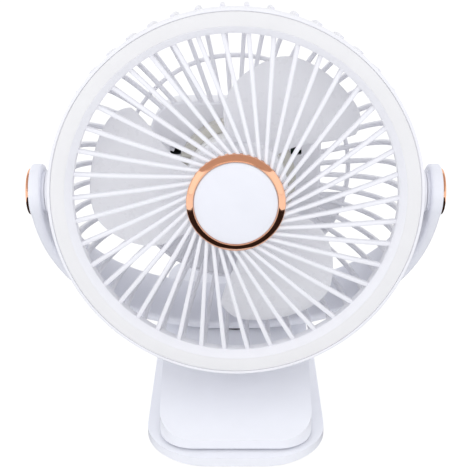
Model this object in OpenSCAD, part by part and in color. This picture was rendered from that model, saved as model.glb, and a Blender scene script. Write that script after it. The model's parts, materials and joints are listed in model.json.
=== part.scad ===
// Portable clip-on camping fan with a ring light.
// Frame: +Z up, the air blows towards -Y, the origin is the centre of the face it stands on.

/* [Stance] */
// Height of the clamp's sloping top at its front edge
nose_h = 12.2; // [11:0.1:14]
// Distance of the tilt axis in front of the middle of the foot
pivot_forward = 24; // [18:1:28]
// Lean of the yoke and of the top of the clamp, degrees
lean = 22; // [20:1:24]
// Backward tilt of the head at rest, degrees
head_tilt = 6; // [0:1:12]

/* [Head] */
// Outer diameter of the front bezel
bezel_d = 172; // [150:1:194]
// Distance of the bezel's front face in front of the tilt axis
bezel_front = 17.5; // [16.5:0.5:20]
// Width of the rim outside the light ring
rim_w = 1.5; // [1.4:0.1:3]
// Width of the flat light ring
light_w = 6.3; // [5.5:0.1:9]
// Width of the sloping lip between the light ring and the air opening
lip_w = 3.4; // [2.6:0.1:5]
// Wall of the bezel and of the lip
bezel_wall = 1.3; // [1:0.1:1.6]
// Thickness of the light diffuser
diffuser_t = 2; // [1.2:0.2:3]
// Number of light emitting chips
led_count = 36; // [12:6:48]

/* [Front grille] */
// Number of straight ribs
front_ribs = 42; // [30:1:48]
// Width of a front rib
front_rib_w = 1.9; // [1.2:0.1:2.4]
// Depth of a front rib
front_rib_h = 3.2; // [2:0.2:4]
// Sideways offset of every rib from the centre
front_rib_skew = 12.2; // [6:0.2:16]
// Diameter of the hub's metal trim
trim_d = 45; // [42:0.5:48]
// Diameter of the white hub cap
cap_d = 38.2; // [34:0.2:39]
// Height of the hub's front edge above the bezel's front face
hub_rise = 6; // [4.5:0.5:8]

/* [Rear housing] */
// Number of rear ribs
rear_ribs = 48; // [36:1:56]
// Width of a rear rib
rear_rib_w = 2.2; // [1.6:0.1:2.8]
// Depth of a rear rib
rear_rib_h = 4.4; // [3:0.2:5]
// Height of the rear ribs above the bezel's edge
rib_proud = 1; // [0.5:0.1:2]
// Distance of the rear ribs' back edges behind the tilt axis
rear_rib_back = 48; // [47:0.5:50]
// Distance of the rear ring's back face behind the tilt axis
rear_ring_back = 51; // [50:0.5:54]
// Distance of the rear ring's outer edge from the side of the box
rear_ring_gap = 15.5; // [14:0.5:18]
// Spare width in the battery box beside the cells and the board
box_spare_w = 6; // [5.5:0.5:9]
// Spare height in the battery box above and below the cells
box_spare_h = 10.2; // [9:0.2:14]
// Corner radius of the battery box
box_r = 16; // [12:0.5:18]
// Distance of the box's front face behind the tilt axis
box_front = 43; // [42:0.5:44]
// Height of the motor's seat on the front of the box
motor_seat_h = 9; // [8:0.5:10]
// Wall of the box
box_wall = 2; // [1.6:0.1:2.2]
// Thickness of the rear cover
rear_cover_t = 2.5; // [2:0.1:3]

/* [Inside the box] */
// Diameter of a battery cell
cell_d = 18.3; // [18:0.1:18.6]
// Length of a battery cell
cell_len = 65; // [60:0.5:66]
// Thickness of the control board
board_t = 1.6; // [1:0.2:2]
// Diameter of a push button
button_d = 8.8; // [7:0.2:9.4]
// Travel of a push button
button_travel = 0.8; // [0.5:0.1:1]
// Width of the charging socket
socket_w = 9; // [8.4:0.1:9.4]
// Height of the charging socket
socket_h = 3.3; // [3:0.1:3.8]

/* [Motor and blades] */
// Number of blades
blade_count = 3; // [2:1:4]
// Gap between the blade tips and the edge of the air opening
tip_gap = 5.8; // [4:0.2:12]
// Thickness of a blade
blade_t = 1.8; // [1.4:0.1:2.4]
// Height difference of a blade from its front edge to its rear edge
blade_pitch = 17; // [10:1:19]
// Diameter of the blade hub
blade_hub_d = 49.5; // [46:0.5:52]
// Diameter of the motor
motor_d = 59; // [54:1:62]
// Length of the motor
motor_len = 12; // [12:0.5:14]
// Diameter of the motor shaft
shaft_d = 4; // [3:0.5:5]
// Outer diameter of a motor bearing
bearing_d = 9; // [8:0.5:11]
// Width of a motor bearing
bearing_w = 3; // [2.5:0.5:4]

/* [Yoke] */
// Gap between the head and each arm of the yoke
arm_gap = 4; // [3:0.5:8]
// Gap between the rear ribs and the yoke's crosspiece
under_gap = 3.5; // [3:0.5:8]
// Thickness of the yoke
yoke_t = 5.5; // [4.5:0.5:6]
// Width of the yoke's crosspiece
yoke_band = 30; // [26:1:34]
// Distance of the crosspiece's middle behind the plane of the tilt axis
yoke_back = 10; // [6:1:12]
// Diameter of the yoke's round arm ends
arm_d = 26; // [24:1:28]
// Diameter of the metal pivot caps
pivot_cap_d = 22; // [18:0.5:23]
// Diameter of the pivot bolts
pivot_bolt_d = 5; // [4:0.5:6]
// Diameter of the swivel bolt
swivel_bolt_d = 8; // [6:0.5:9]
// Diameter of the swivel's friction washer
swivel_washer_d = 28; // [24:1:32]
// Thickness of the friction washers
washer_t = 1.2; // [0.8:0.1:1.6]

/* [Clamp] */
// Width of the lower jaw
foot_w = 90; // [80:1:100]
// Length of the lower jaw
foot_len = 124; // [112:1:138]
// Thickness of the lower jaw
foot_t = 5.6; // [5:0.2:7]
// Front corner radius of the lower jaw
foot_r = 31; // [24:1:33]
// Distance of the upper jaw's sides inside the lower jaw's
jaw_side = 7; // [5:0.5:9]
// Distance of the upper jaw's ends inside the lower jaw's
jaw_end = 6; // [4:0.5:8]
// Front corner radius of the upper jaw
jaw_r = 17; // [12:1:22]
// Wall of the upper jaw
jaw_wall = 2.2; // [1.8:0.2:3]
// Thickness of the upper jaw's top cover
jaw_cover_t = 2.6; // [2.2:0.2:3.2]
// Gap between the closed jaws
jaw_gap = 1.3; // [1.2:0.1:2]
// Distance of the jaw hinge behind the middle of the foot
hinge_back = 18; // [12:1:22]
// Height of the jaw hinge above the lower jaw
hinge_rise = 9.5; // [9:0.5:12]
// Diameter of the hinge pin
hinge_pin_d = 5; // [4:0.5:6]
// Opening of the clamp, degrees
clamp_open = 30; // [20:1:34]
// Wire diameter of the clamp spring
spring_wire = 1.8; // [1.2:0.1:2.2]
// Number of coils of the clamp spring
spring_coils = 7; // [4:1:9]
// Diameter of a rubber foot pad
pad_d = 13; // [10:1:16]
// Height that the foot pads stand out
pad_out = 0.6; // [0.4:0.1:1]

/* [Hidden] */
$fn = 96;

WHITE = [0.93, 0.94, 0.97];
PALE_BLUE = [0.83, 0.85, 0.9];
ROSE_GOLD = [0.78, 0.5, 0.38];
STEEL = [0.7, 0.71, 0.73];
RUBBER = [0.2, 0.2, 0.22];
BOARD_GREEN = [0.1, 0.35, 0.2];
WARM_WHITE = [0.93, 0.92, 0.89];

eps = 0.01;             // overlap that makes joined solids fuse
run_fit = 0.05;         // radial clearance of a running fit
slip = 0.15;            // clearance between pieces that only sit together
free_gap = 0.4;         // clearance between pieces of different bodies
fine = 48;              // facets of small round features

pivot_y = -pivot_forward;
bezel_r = bezel_d / 2;
light_r = bezel_r - rim_w;
light_ir = light_r - light_w;
opening_r = light_ir - lip_w;
wall_r = bezel_r + rib_proud;
blade_r = opening_r - tip_gap;
yoke_w = bezel_d + 2 * arm_gap + 2 * yoke_t;
yoke_drop = wall_r + under_gap + yoke_t;

// stations along the head's own axis, measured forwards from the tilt axis
bezel_back = 6;
web_t = 2;
channel_floor = bezel_back + web_t;
diffuser_back = bezel_front - 0.3 - diffuser_t;
lip_drop = 3.6;
lip_back = 8.4;
hub_front = bezel_front + hub_rise;
hub_plate_t = 2.4;
hub_hole_r = 7;
first_rib = 9.4;
trim_h = 4.9;
rib_hub_below = 2.5;    // how far the ribs' inner ends lie behind the hub's front
collar_back = -4;
collar_web = 2.2;
rear_ring_w = 2;
rear_rib_turn = 0.4;
apron_below = 12.5;     // below this height a plate closes the field inside the ring
apron_t = 1.6;
apron_set = 0.6;        // how far the plate lies inside the ribs' back edges
housing_screw_r = (light_ir + light_r) / 2 - 1.6;
housing_screw_d = 2.2;
led_board_t = 1.2;
led_size = 2.8;
led_h = 0.9;
diffuser_ledge = 0.5;
lip_wall = 3;

rib_tail = 0.6;         // how far ribs reach into the rings that carry them
rib_hub_r = cap_d / 2 + 1;
arc_steps = 8;

boss_r = 10.5;
boss_end = yoke_w / 2 - yoke_t - washer_t - 2 * slip;
bolt_head_r = 4.5;
bolt_head_h = 2.4;
bolt_depth = 9;
cap_t = 2.4;
cap_seat = 0.8;

cell_count = 3;
cell_pitch = cell_d + 0.3;
strip_w = 12;           // the control board stands in a strip beside the cells
strip_len = 46;
box_w = cell_len + strip_w + 2 * box_wall + box_spare_w;
box_h = cell_count * cell_pitch + 2 * box_wall + box_spare_h;
box_depth = box_wall + cell_d + 1.2;
strip_x = box_w / 2 - box_wall - strip_w / 2 - 1;
cell_mid_x = strip_x - strip_w / 2 - 1.5 - cell_len / 2;
ring_r = box_w / 2 + rear_ring_gap;
board_back = box_front + 12.5;
board_hole_d = 1.7;
board_post_d = 4;
switch_size = 5;
button_flange = 0.9;
button_flange_t = 1;
button_proud = 0.9;
button_y = [8, -6];
socket_y = -18.3;
socket_len = box_front + box_depth + rear_cover_t - 0.3 - board_back - board_t;
socket_wall = 0.5;
lens_d = 2;
lens_y = [15.5, 18.1, 20.7];
box_slot = [5.6, 4.4];
box_slot_at = [30.7, 10.2];
cover_screw_at = [box_w / 2 - 13.5, box_h / 2 - 4.6];
cover_screw_d = 2;
cover_boss_d = 4.6;

motor_seat = box_front - motor_seat_h;
motor_seat_d = 46;
motor_front = -(motor_seat - motor_len);
end_bell_t = 1.6;
motor_wall = 1.4;
motor_screw_r = 16.5;
motor_screw_d = 2.6;
rotor_d = 34;
rotor_h = 6;
shaft_front = 1;
hub_cup_front = -2.5;
hub_cup_back = motor_front + free_gap + 0.6;
hub_cup_wall = 2;
hub_core_d = 10;
nut_d = 12;
nut_h = 4.6;
blade_edge_front = 3;
blade_steps_r = 9;
blade_steps_a = 12;
blade_half = 29;
blade_sweep = 26;
blade_tip_cut = 9;      // how far the tip's trailing corner is drawn in, in degrees

yoke_power = 2.3;
yoke_steps = 40;
plug_d = 18;
plug_t = 1.2;
swivel_head_d = 14;
swivel_head_h = 2.2;
swivel_boss_h = 4;
nut_af = 13;
nut_t = 5;
deck = yoke_drop + washer_t;   // distance from the tilt axis to the clamp's sloping top

jaw_w = foot_w - 2 * jaw_side;
jaw_len = foot_len - 2 * jaw_end;
foot_top = pad_out + foot_t;
jaw_bottom = foot_top + jaw_gap;
hinge_z = foot_top + hinge_rise;
jaw_front_y = -jaw_len / 2;
pivot_h = nose_h + deck / cos(lean) + (pivot_y - jaw_front_y) * tan(lean);
jaw_rear_r = 12;
foot_rear_r = 14;
lug_t = 6;
lug_x = 21;
lug_r = 6.5;
lug_slot_gap = 0.5;
bevel_spare = 3;
bevel_lead = 10;        // how far in front of the hinge the turned-up underside begins
span = 3 * foot_len;    // longer than the clamp in every direction
spring_r = hinge_pin_d / 2 + spring_wire / 2 + 0.7;
spring_leg_len = 17;
spring_seat = 0.2;
pad_recess = 1;
grip_len = 26;
grip_w = jaw_w - 20;
grip_t = pad_recess + jaw_gap / 2 - 0.15;
grip_y = jaw_front_y + 19;
grip_groove = 0.35;
grip_groove_pitch = 3.2;
foot_pad_at = [foot_w / 2 - 13, foot_len / 2 - 17];
skirt_r = 1.2;
jaw_screw_at = [jaw_w / 2 - 8, jaw_len / 2 - 12];
jaw_screw_front = hinge_back - 32;
jaw_screw_d = 2.6;
jaw_boss_d = 6.4;
screw_head = 2;         // head diameter as a multiple of the thread

module at_pivot() translate([0, pivot_y, pivot_h]) children();
// head frame: +Z along the airflow, +Y up
module in_head() at_pivot() rotate([90 - head_tilt, 0, 0]) children();
// yoke frame: +Z along the swivel axis, +Y towards the back
module in_yoke() at_pivot() rotate([lean, 0, 0]) children();

module ring(r_out, r_in, z0, z1) {
    translate([0, 0, z0]) difference() {
        cylinder(r = r_out, h = z1 - z0);
        translate([0, 0, -1]) cylinder(r = r_in, h = z1 - z0 + 2);
    }
}

module housing_screw_places(z) for (i = [0:3]) rotate(i * 90 + 45)
    translate([housing_screw_r, 0, z]) children();

module rounded_rect(w, h, r) {
    union() {
        square([w, h - 2 * r], center = true);
        square([w - 2 * r, h], center = true);
        for (sx = [-1, 1], sy = [-1, 1])
            translate([sx * (w / 2 - r), sy * (h / 2 - r)]) circle(r = r);
    }
}

// footprint with its own front and rear corner radii, from y0 to y1
module tongue(w, y0, y1, r_front, r_rear) {
    translate([-w / 2, y0 + r_front]) square([w, y1 - y0 - r_front - r_rear]);
    translate([-w / 2 + r_front, y0]) square([w - 2 * r_front, r_front + eps]);
    translate([-w / 2 + r_rear, y1 - r_rear - eps]) square([w - 2 * r_rear, r_rear + eps]);
    for (s = [-1, 1]) {
        translate([s * (w / 2 - r_front), y0 + r_front]) circle(r = r_front);
        translate([s * (w / 2 - r_rear), y1 - r_rear]) circle(r = r_rear);
    }
}

module screw(d, len, head_h) {
    translate([0, 0, -eps]) cylinder(d = d, h = len + eps, $fn = fine);
    translate([0, 0, -head_h]) difference() {
        cylinder(d = screw_head * d, h = head_h, $fn = fine);
        translate([-0.15 * d, -0.8 * d, -eps]) cube([0.3 * d, 1.6 * d, head_h / 2]);
    }
}

// ---------------------------------------------------------------- front of the head

front_reach = sqrt(pow(opening_r + rib_tail, 2) - pow(front_rib_skew, 2));
front_start = sqrt(pow(rib_hub_r, 2) - pow(front_rib_skew, 2));
rib_hub_z = hub_front - rib_hub_below;
rib_rim_z = bezel_front - lip_drop - 0.6;
function rib_z(u) = rib_rim_z + (rib_hub_z - rib_rim_z) * (1 - pow(u, 1.7));
front_rib_edge = [for (i = [0:arc_steps]) let (u = i / arc_steps)
    [front_start + (front_reach - front_start) * u, rib_z(u)]];
front_rib_profile = concat(front_rib_edge,
    [for (i = [arc_steps:-1:0]) front_rib_edge[i] - [0, front_rib_h]]);

module front_grille() color(WHITE) in_head() {
    seat = hub_front - trim_h;
    difference() {
        union() {
            ring(trim_d / 2, hub_hole_r, seat - hub_plate_t, seat);
            for (i = [0:front_ribs - 1]) rotate(i * 360 / front_ribs + first_rib)
                translate([0, -front_rib_skew, 0]) rotate([90, 0, 0])
                linear_extrude(front_rib_w, center = true) polygon(front_rib_profile);
        }
        translate([0, 0, seat]) cylinder(d = trim_d + slip, h = 2 * trim_h);
    }
    rotate_extrude() polygon([[opening_r, lip_back], [opening_r + lip_wall, lip_back],
        [light_ir - slip, lip_back + 2], [light_ir - slip, bezel_front - 0.4],
        [light_ir - slip - 0.4, bezel_front], [opening_r, bezel_front - lip_drop]]);
}

module front_bezel() color(WHITE) in_head() difference() {
    rotate_extrude() polygon([[light_ir, bezel_back], [bezel_r - 0.6, bezel_back],
        [bezel_r, bezel_back + 0.6], [bezel_r, bezel_front - 2.2],
        [bezel_r - 0.25, bezel_front - 1], [bezel_r - 0.7, bezel_front - 0.25],
        [bezel_r - 1.1, bezel_front], [light_r + slip, bezel_front],
        [light_r + slip, diffuser_back], [light_r - diffuser_ledge, diffuser_back],
        [light_r - diffuser_ledge, channel_floor],
        [light_ir + bezel_wall, channel_floor], [light_ir + bezel_wall, diffuser_back],
        [light_ir, diffuser_back]]);
    housing_screw_places(bezel_back - 1) cylinder(d = housing_screw_d, h = web_t + 2, $fn = fine);
}

module ring_light_diffuser() color(WARM_WHITE) in_head()
    ring(light_r - slip / 2, light_ir + slip / 2, diffuser_back, bezel_front - 0.3);

module led_board() color(BOARD_GREEN) in_head()
    ring(light_r - diffuser_ledge - slip, light_ir + bezel_wall + slip,
        channel_floor, channel_floor + led_board_t);

module led_chips() color(WARM_WHITE) in_head()
    for (i = [0:led_count - 1]) rotate(i * 360 / led_count)
        translate([(light_r + light_ir) / 2 - led_size / 2, -led_size / 2,
            channel_floor + led_board_t]) cube([led_size, led_size, led_h]);

module hub_trim_ring() color(ROSE_GOLD) in_head() rotate_extrude() {
    r_out = trim_d / 2;
    r_in = cap_d / 2 + 0.1;
    z0 = hub_front - trim_h;
    polygon([[r_in, z0], [r_out, z0], [r_out, hub_front - 1.8], [r_out - 0.4, hub_front - 1.2],
        [r_out - 1.3, hub_front - 0.5], [r_in + 1, hub_front], [r_in + 0.4, hub_front],
        [r_in, hub_front - 0.4]]);
}

module hub_cap() color(WHITE) in_head() {
    z0 = hub_front - trim_h;
    cap_edge = hub_front - 0.5;
    sag = 0.9;
    r = cap_d / 2;
    dome_r = (r * r + sag * sag) / (2 * sag);
    intersection() {
        translate([0, 0, z0]) cylinder(r = r, h = trim_h + sag);
        translate([0, 0, cap_edge + sag - dome_r]) sphere(r = dome_r, $fn = 180);
    }
}

// ---------------------------------------------------------------- rear of the head

rear_start = ring_r - 3;
rib_top = bezel_back - 1.2;
rib_end = box_h / 2 - box_wall;
// quarter of a rounded wall, from the collar round to the rear ring
function wall_curve(u, inset) = [
    rear_start + (wall_r - inset - rear_start) * pow(cos(u), 0.7),
    -(rear_rib_back - inset) * pow(sin(u), 0.6)];
rear_rib_profile = concat(
    [[wall_r, rib_top]],
    [for (i = [0:arc_steps]) wall_curve(i * 90 / arc_steps, 0)],
    [[rib_end, -rear_rib_back], [rib_end, rear_rib_h - rear_rib_back]],
    [for (i = [arc_steps:-1:0]) wall_curve(i * 90 / arc_steps, rear_rib_h)],
    [[wall_r - rear_rib_h, rib_top]]);

module box_outline(inset) rounded_rect(box_w - 2 * inset, box_h - 2 * inset, box_r - inset);

module board_post_places(z) for (x = [-1, 1]) translate([strip_x + x * (strip_w / 2 - 2),
    x * (strip_len / 2 - 2), z]) children();

module motor_screw_places(z) for (i = [0:3]) rotate(i * 90 + 45)
    translate([motor_screw_r, 0, z]) children();

module screw_boss_columns(d, z0, z1)
    for (sx = [-1, 1], sy = [-1, 1])
        translate([sx * cover_screw_at[0], sy * cover_screw_at[1], z0])
            cylinder(d = d, h = z1 - z0, $fn = fine);

module rear_housing() color(WHITE) in_head() {
    box_back = -box_front - box_depth;
    difference() {
        union() {
            // collar behind the bezel, with the pivot bosses on its sides
            ring(bezel_r - 1, light_ir - 1.2, bezel_back - collar_web, bezel_back);
            ring(bezel_r - 1, bezel_r - 3.4, collar_back, bezel_back);
            difference() {
                for (s = [-1, 1]) rotate([0, s * 90, 0])
                    translate([0, 0, bezel_r - 3]) cylinder(r = boss_r, h = boss_end - bezel_r + 3);
                translate([0, 0, -2 * boss_r]) cylinder(r = bezel_r - 2, h = 4 * boss_r);
                translate([0, 0, bezel_back]) cylinder(r = bezel_r + slip, h = boss_r);
            }
            for (i = [0:rear_ribs - 1]) rotate((i + 0.5) * 360 / rear_ribs + rear_rib_turn)
                rotate([90, 0, 0])
                linear_extrude(rear_rib_w, center = true) polygon(rear_rib_profile);
            ring(ring_r, ring_r - rear_ring_w, -rear_ring_back,
                apron_set + apron_t + 0.4 - rear_rib_back);
            translate([0, 0, apron_set - rear_rib_back]) linear_extrude(apron_t) intersection() {
                circle(r = ring_r - rear_ring_w / 2);
                translate([-ring_r, -2 * ring_r - apron_below]) square(2 * ring_r);
            }
            translate([0, 0, box_back]) linear_extrude(box_depth) box_outline(0);
            translate([0, 0, -box_front - eps]) cylinder(d = motor_seat_d,
                h = motor_seat_h + eps);
        }
        // hollow of the battery box, with posts for the cover's screws
        difference() {
            translate([0, 0, box_back - 1]) linear_extrude(box_depth - box_wall + 1)
                box_outline(box_wall);
            screw_boss_columns(cover_boss_d, box_back, -box_front);
            // posts that the control board sits on
            board_post_places(-board_back) cylinder(d = board_post_d, h = board_back - box_front,
                $fn = fine);
            board_post_places(-board_back - board_t) cylinder(d = board_hole_d - 0.2,
                h = board_t + 1, $fn = fine);
        }
        screw_boss_columns(cover_screw_d, box_back - 1, box_back + 9);
        // pivot bores
        for (s = [-1, 1]) rotate([0, s * 90, 0]) translate([0, 0, bezel_r - 2 * rear_rib_h])
            cylinder(d = pivot_bolt_d + 2 * run_fit, h = boss_end - bezel_r + 3 * rear_rib_h,
                $fn = fine);
        // hollow of the motor's seat, with the motor boss opening and screw holes
        translate([0, 0, -box_front - box_wall - 1])
            cylinder(d = motor_seat_d - 2 * box_wall, h = motor_seat_h + 1);
        translate([0, 0, -motor_seat - box_wall - 1])
            cylinder(d = bearing_d + 3, h = box_wall + 2, $fn = fine);
        motor_screw_places(-motor_seat - box_wall - 1)
            cylinder(d = motor_screw_d + 2 * run_fit, h = box_wall + 2, $fn = fine);
        // two small openings high on the box
        for (s = [-1, 1]) translate([s * box_slot_at[0] - box_slot[0] / 2,
            box_slot_at[1] - box_slot[1] / 2, -box_front - box_wall - 1])
            cube([box_slot[0], box_slot[1], box_wall + 2]);
        // screw holes through the collar flange
        housing_screw_places(bezel_back - 4)
            cylinder(d = housing_screw_d + 2 * run_fit, h = 5, $fn = fine);
    }
}

module rear_cover() color(WHITE) in_head() {
    back = -box_front - box_depth;
    edge = 0.8;
    difference() {
        union() {
            translate([0, 0, back - rear_cover_t + edge])
                linear_extrude(rear_cover_t - edge) box_outline(0);
            translate([0, 0, back - rear_cover_t]) linear_extrude(edge + eps) box_outline(edge);
        }
        for (y = button_y) translate([strip_x, y, back - rear_cover_t - 1])
            cylinder(d = button_d + 2 * slip, h = rear_cover_t + 2, $fn = fine);
        for (y = lens_y) translate([strip_x, y, back - rear_cover_t - 1])
            cylinder(d = lens_d + 2 * run_fit, h = rear_cover_t + 2, $fn = fine);
        translate([strip_x, socket_y, back - rear_cover_t - 1])
            linear_extrude(rear_cover_t + 2)
            rounded_rect(socket_h + 2 * slip, socket_w + 2 * slip, socket_h / 2);
        screw_boss_columns(cover_screw_d + 2 * run_fit, back - rear_cover_t - 1, back + 1);
        screw_boss_columns(screw_head * cover_screw_d + 2 * slip, back - rear_cover_t - 1,
            back - rear_cover_t + 1.3);
    }
}

module cover_screws() color(STEEL) in_head()
    for (sx = [-1, 1], sy = [-1, 1])
        translate([sx * cover_screw_at[0], sy * cover_screw_at[1],
            -box_front - box_depth - rear_cover_t + 1.3]) screw(cover_screw_d, 8, 1.1);

module battery_cells() color([0.25, 0.45, 0.6]) in_head()
    for (i = [0:cell_count - 1])
        translate([cell_mid_x - cell_len / 2, (i - (cell_count - 1) / 2) * cell_pitch,
            -box_front - box_wall - cell_d / 2 - 0.1]) rotate([0, 90, 0]) {
            cylinder(d = cell_d, h = cell_len);
            translate([0, 0, cell_len - eps]) cylinder(d = 6, h = 0.9, $fn = fine);
        }

module control_board() color(BOARD_GREEN) in_head()
    difference() {
        translate([strip_x - strip_w / 2, -strip_len / 2, -board_back - board_t])
            cube([strip_w, strip_len, board_t]);
        board_post_places(-board_back - board_t - 1)
            cylinder(d = board_hole_d, h = board_t + 2, $fn = fine);
    }

button_inner = box_front + box_depth - button_flange_t;      // inner end of a button's flange
switch_top = button_inner - button_travel - 0.1;

module tact_switches() color(STEEL) in_head()
    for (y = button_y) {
        translate([strip_x - switch_size / 2, y - switch_size / 2, -board_back - board_t - 3])
            cube([switch_size, switch_size, 3]);
        translate([strip_x, y, -switch_top])
            cylinder(d = 2.4, h = switch_top - board_back - board_t - 3 + eps, $fn = fine);
    }

module charging_socket() color(STEEL) in_head()
    translate([strip_x, socket_y, -board_back - board_t - socket_len])
    difference() {
        translate([0, 0, 0]) linear_extrude(socket_len)
            rounded_rect(socket_h, socket_w, socket_h / 2 - eps);
        translate([0, 0, -1]) linear_extrude(socket_len)
            difference() {
                rounded_rect(socket_h - 2 * socket_wall, socket_w - 2 * socket_wall,
                    socket_h / 2 - socket_wall - eps);
                square([0.7, socket_w - 3], center = true);
            }
    }

module indicator_lenses() color(WARM_WHITE) in_head()
    for (y = lens_y) translate([strip_x, y, -box_front - box_depth - rear_cover_t])
        cylinder(d = lens_d, h = rear_cover_t + 1, $fn = fine);

module push_button(y) in_head()
    translate([strip_x, y, 0]) {
        translate([0, 0, -box_front - box_depth - rear_cover_t - button_proud]) {
            cylinder(d = button_d - 0.8, h = 0.4 + eps, $fn = fine);
            translate([0, 0, 0.4]) cylinder(d = button_d,
                h = rear_cover_t + button_proud - 0.4 + 0.1, $fn = fine);
        }
        translate([0, 0, -box_front - box_depth + 0.05])
            cylinder(d = button_d + 2 * button_flange, h = button_flange_t - 0.05, $fn = fine);
    }

module power_button() color(ROSE_GOLD) push_button(button_y[0]);
module light_button() color(WHITE) push_button(button_y[1]);

// ---------------------------------------------------------------- motor and blades

module motor_housing() color(STEEL) in_head() difference() {
    union() {
        translate([0, 0, -motor_seat]) cylinder(d = motor_d, h = motor_len - end_bell_t);
        translate([0, 0, -motor_seat - box_wall]) cylinder(d = bearing_d + 2.6, h = box_wall + 1,
            $fn = fine);
    }
    translate([0, 0, -motor_seat + 2]) cylinder(d = motor_d - 2 * motor_wall, h = motor_len);
    translate([0, 0, -motor_seat - box_wall - 1]) cylinder(d = shaft_d + 2, h = motor_len,
        $fn = fine);
    translate([0, 0, -motor_seat + 2 - bearing_w]) cylinder(d = bearing_d, h = bearing_w + 1,
        $fn = fine);
    motor_screw_places(-motor_seat - 1) cylinder(d = motor_screw_d, h = 4, $fn = fine);
}

module motor_end_bell() color(STEEL) in_head() difference() {
    union() {
        translate([0, 0, motor_front - end_bell_t]) cylinder(d = motor_d, h = end_bell_t);
        translate([0, 0, motor_front - bearing_w]) cylinder(d = bearing_d + 3, h = bearing_w,
            $fn = fine);
    }
    translate([0, 0, motor_front - bearing_w - 1]) cylinder(d = bearing_d, h = bearing_w + 0.4,
        $fn = fine);
    translate([0, 0, motor_front - bearing_w - 1]) cylinder(d = shaft_d + 1.4, h = bearing_w + 2,
        $fn = fine);
}

module motor_bearings() color(STEEL) in_head()
    for (z = [-motor_seat + 2 - bearing_w, motor_front - bearing_w - 0.6])
        ring(bearing_d / 2, shaft_d / 2 + run_fit, z, z + bearing_w, $fn = fine);

module motor_stator() color([0.62, 0.38, 0.2]) in_head() {
    z0 = -motor_seat + 2;
    ring(motor_d / 2 - motor_wall - 0.01, rotor_d / 2 + 5, z0, z0 + rotor_h);
    for (i = [0:5]) rotate(i * 60) translate([rotor_d / 2 + 0.8, -3, z0 + 0.3])
        cube([6, 6, rotor_h - 0.6]);
}

module motor_rotor() color([0.3, 0.3, 0.33]) in_head()
    ring(rotor_d / 2, shaft_d / 2, -motor_seat + 2.3, -motor_seat + 2 + rotor_h - 0.2);

module motor_shaft() color(STEEL) in_head()
    translate([0, 0, -motor_seat + 2 - bearing_w]) cylinder(d = shaft_d,
        h = motor_seat - 2 + bearing_w + shaft_front, $fn = fine);

module motor_screws() color(STEEL) in_head()
    motor_screw_places(-motor_seat - box_wall) screw(motor_screw_d, box_wall + 1.8, 1.4);

blade_root = blade_hub_d / 2 - 4;       // where the law of the blade's outline begins
blade_from = (blade_hub_d / 2 - hub_cup_wall / 2 - blade_root) / (blade_r - blade_root);
blade_mid = blade_edge_front - blade_pitch / 2;
// a blade point: s runs along the radius from 0 to 1, c across the blade from -1 to 1
function blade_turn(s) = blade_sweep * pow(s - 0.08, 2) - 0.42 * blade_sweep;
function tip_round(c) = 1 - 0.1 * pow(abs(c), 5);
function tip_cut(s, c) = blade_tip_cut * pow(max(0, 2 * s - 1) * (1 - c) / 2, 2);
function blade_width(s) = blade_half * (1.02 + 0.16 * sin(150 * s));
function blade_point(s, c, side) =
    let (r = blade_root + (blade_r * tip_round(c) - blade_root) * s,
         a = blade_width(s) * c - blade_turn(s) + tip_cut(s, c),
         rise = blade_pitch * (0.62 + 0.38 * s) / 2,
         z = blade_mid + rise * (c + 0.18 * (1 - c * c)) + side * blade_t / 2)
    [r * cos(a), r * sin(a), z];

module blade() {
    nr = blade_steps_r;
    na = blade_steps_a;
    row = na + 1;
    sheet = (nr + 1) * row;
    points = [for (side = [1, -1], i = [0:nr], j = [0:na])
        blade_point(blade_from + (1 - blade_from) * i / nr, 2 * j / na - 1, side)];
    top = [for (i = [0:nr - 1], j = [0:na - 1]) let (k = i * row + j)
        for (f = [[k, k + 1, k + row + 1], [k, k + row + 1, k + row]]) f];
    bottom = [for (f = top) [f[2] + sheet, f[1] + sheet, f[0] + sheet]];
    rim = concat([for (j = [0:na]) j],
        [for (i = [1:nr]) i * row + na],
        [for (j = [na - 1:-1:0]) nr * row + j],
        [for (i = [nr - 1:-1:1]) i * row]);
    n = len(rim);
    edge = [for (i = [0:n - 1]) let (p = rim[i], q = rim[(i + 1) % n])
        for (f = [[q, p, p + sheet], [q, p + sheet, q + sheet]]) f];
    polyhedron(points, concat(top, bottom, edge));
}

module fan_blade() color(PALE_BLUE) in_head() {
    difference() {
        union() {
            ring(blade_hub_d / 2, blade_hub_d / 2 - hub_cup_wall, hub_cup_back, hub_cup_front);
            translate([0, 0, hub_cup_front - hub_cup_wall])
                cylinder(d = blade_hub_d - hub_cup_wall, h = hub_cup_wall);
            translate([0, 0, hub_cup_back + 1]) cylinder(d = hub_core_d,
                h = hub_cup_front - hub_cup_back - 1, $fn = fine);
        }
        translate([0, 0, hub_cup_back])
            cylinder(d = shaft_d, h = hub_cup_front - hub_cup_back + 1, $fn = fine);
    }
    for (i = [0:blade_count - 1]) rotate(i * 360 / blade_count + 57) blade();
}

module blade_nut() color(STEEL) in_head() translate([0, 0, hub_cup_front]) difference() {
    union() {
        cylinder(d = nut_d, h = nut_h - 1, $fn = fine);
        translate([0, 0, nut_h - 1 - eps]) cylinder(d1 = nut_d, d2 = nut_d - 4, h = 1, $fn = fine);
    }
    translate([0, 0, -1]) cylinder(d = shaft_d, h = shaft_front - hub_cup_front + 1.2, $fn = fine);
}

module housing_screws() color(STEEL) in_head()
    housing_screw_places(bezel_back - collar_web) screw(housing_screw_d, collar_web + 1.6, 1.2);

// ---------------------------------------------------------------- yoke

function yoke_curve(a, b, phi) = [a * pow(abs(cos(phi)), 2 / yoke_power) * sign(cos(phi)),
    -b * pow(sin(phi), 2 / yoke_power)];
function yoke_line(inset) = [for (i = [0:yoke_steps])
    yoke_curve(yoke_w / 2 - inset, yoke_drop - inset, i * 180 / yoke_steps)];

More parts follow.
